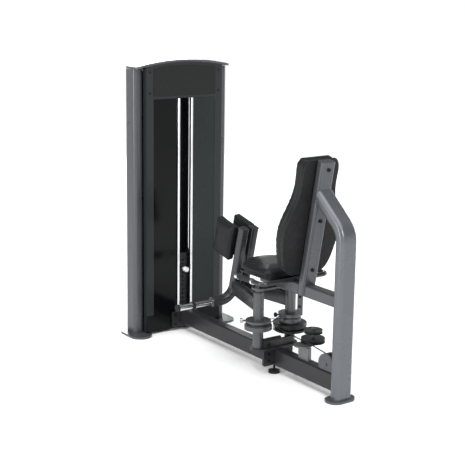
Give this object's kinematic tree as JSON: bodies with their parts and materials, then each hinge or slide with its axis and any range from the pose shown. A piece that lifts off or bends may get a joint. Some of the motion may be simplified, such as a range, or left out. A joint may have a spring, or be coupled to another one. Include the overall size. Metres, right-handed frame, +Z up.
{
  "type": "hip abductor machine",
  "caption": "Seated hip machine: weight tower with shrouded stack, base beam, upholstered seat and waisted back rest, and two coupled swinging leg arms with knee pads and foot pegs.",
  "frame": {"origin": "middle of the machine on the floor", "axes": "+Z up, +Y from the rear post to the weight tower, +X to the right when facing the tower"},
  "size_m": [0.768, 1.59, 1.551],
  "materials": {
    "frame_paint": "satin gunmetal powder coat",
    "beam_paint": "satin charcoal powder coat",
    "tower_paint": "satin gunmetal powder coat",
    "header_paint": "satin dark green-charcoal",
    "left_panel_smoke": "gloss smoked",
    "right_panel_dark": "satin dark green-grey",
    "drum_metal": "satin light grey",
    "cam_dark": "satin black",
    "pulley_plastic": "satin black-green",
    "bright": "polished",
    "black_steel": "satin black",
    "rubber_black": "matte",
    "leather_black": "matte upholstery vinyl",
    "board_black": "matte",
    "cable_black": "nylon coated",
    "pin_white": "gloss"
  },
  "bodies": {
    "frame": {"back_column": "frame_paint", "backrest_board": "board_black", "backrest_cushion": "leather_black", "base_beam": "beam_paint", "base_crossmember": "beam_paint", "drive_cable": "cable_black", "floor_plates": "frame_paint", "frame_bolts": "black_steel", "front_bezel": "header_paint", "grip_caps": "bright", "guide_rods": "bright", "handle_grips": "rubber_black", "handlebar": "frame_paint", "header_inset": "header_paint", "header_panel": "header_paint", "kick_panels": "left_panel_smoke", "left_panel": "left_panel_smoke", "levelling_foot": "rubber_black", "lift_cable": "cable_black", "pivot_columns": "frame_paint", "pivot_cross_plate": "beam_paint", "pulley_cheeks": "frame_paint", "pulley_pedestal": "frame_paint", "rear_post": "frame_paint", "rear_shroud": "right_panel_dark", "resting_plates": "black_steel", "right_panel": "right_panel_dark", "seat_base_plate": "black_steel", "seat_cross_plate": "frame_paint", "seat_cushion": "leather_black", "seat_tube": "frame_paint", "slot_rails": "bright", "slotted_hanger": "drum_metal", "stack_bumpers": "rubber_black", "stop_bumper": "rubber_black", "tie_cable": "cable_black", "top_cap": "frame_paint", "top_crossmember": "beam_paint", "tower_columns": "tower_paint"},
    "left_arm": {"left_pivot_sleeve": "drum_metal", "left_arm_tube": "frame_paint", "left_pad_board": "board_black", "left_knee_pad": "leather_black", "left_foot_peg": "bright", "left_peg_trim": "rubber_black"},
    "right_arm": {"right_pivot_sleeve": "cam_dark", "right_arm_tube": "frame_paint", "right_pad_board": "board_black", "right_knee_pad": "leather_black", "right_foot_peg": "bright", "right_peg_trim": "rubber_black"},
    "left_pull_pin": {"left_pull_pin": "black_steel"},
    "right_pull_pin": {"right_pull_pin": "black_steel"},
    "lift": {"head_plate": "black_steel", "lifted_plates": "black_steel"},
    "selector_pin": {"selector_pin": "pin_white"},
    "guide_pulleys": {"guide_pulleys": "pulley_plastic"},
    "rear_pulley": {"rear_pulley": "pulley_plastic"},
    "top_pulley": {"top_pulley": "pulley_plastic"},
    "tower_pulley": {"tower_pulley": "pulley_plastic"}
  },
  "joints": [
    {"name": "left_arm_swing", "type": "hinge", "parent": "frame", "child": "left_arm", "pos_m": [-0.104, -0.219, 0.35], "axis": [0, 0, 1], "range_deg": [0, 55]},
    {"name": "right_arm_swing", "type": "hinge", "parent": "frame", "child": "right_arm", "pos_m": [0.104, -0.219, 0.35], "axis": [0, 0, 1], "range_deg": [-56, 0]},
    {"name": "stack_lift", "type": "slide", "parent": "frame", "child": "lift", "axis": [0, 0, 1], "range_m": [0, 0.077], "deforming": ["lift_cable"]},
    {"name": "guide_pulleys_spin", "type": "hinge", "parent": "frame", "child": "guide_pulleys", "pos_m": [0.055, -0.467, 0.222], "axis": [0, 0, 1], "range_deg": [-80, 0]},
    {"name": "rear_pulley_spin", "type": "hinge", "parent": "frame", "child": "rear_pulley", "pos_m": [0, -0.658, 0.159], "axis": [1, 0, 0], "range_deg": [-97, 0]},
    {"name": "tower_pulley_spin", "type": "hinge", "parent": "frame", "child": "tower_pulley", "pos_m": [0, 0.745, 0.086], "axis": [1, 0, 0], "range_deg": [-146, 0]},
    {"name": "top_pulley_spin", "type": "hinge", "parent": "frame", "child": "top_pulley", "pos_m": [0, 0.732, 1.4], "axis": [1, 0, 0], "range_deg": [-102, 0]},
    {"name": "selector_pull", "type": "slide", "parent": "lift", "child": "selector_pin", "axis": [0, -1, 0], "range_m": [0, 0.045]},
    {"name": "left_pin_pull", "type": "slide", "parent": "left_arm", "child": "left_pull_pin", "axis": [-0.8358, 0.549, 0], "range_m": [0, 0.01], "stiffness_N_per_m": 400},
    {"name": "right_pin_pull", "type": "slide", "parent": "right_arm", "child": "right_pull_pin", "axis": [-0.9219, 0.3875, 0], "range_m": [0, 0.01], "stiffness_N_per_m": 400}
  ],
  "couplings": [
    {"joint": "right_arm_swing", "follows": "left_arm_swing", "ratio": -1},
    {"joint": "stack_lift", "follows": "left_arm_swing", "m_per_rad": 0.078},
    {"joint": "guide_pulleys_spin", "follows": "left_arm_swing", "ratio": -1.4182},
    {"joint": "rear_pulley_spin", "follows": "left_arm_swing", "ratio": -1.7333},
    {"joint": "tower_pulley_spin", "follows": "left_arm_swing", "ratio": -2.6},
    {"joint": "top_pulley_spin", "follows": "left_arm_swing", "ratio": -1.814}
  ]
}
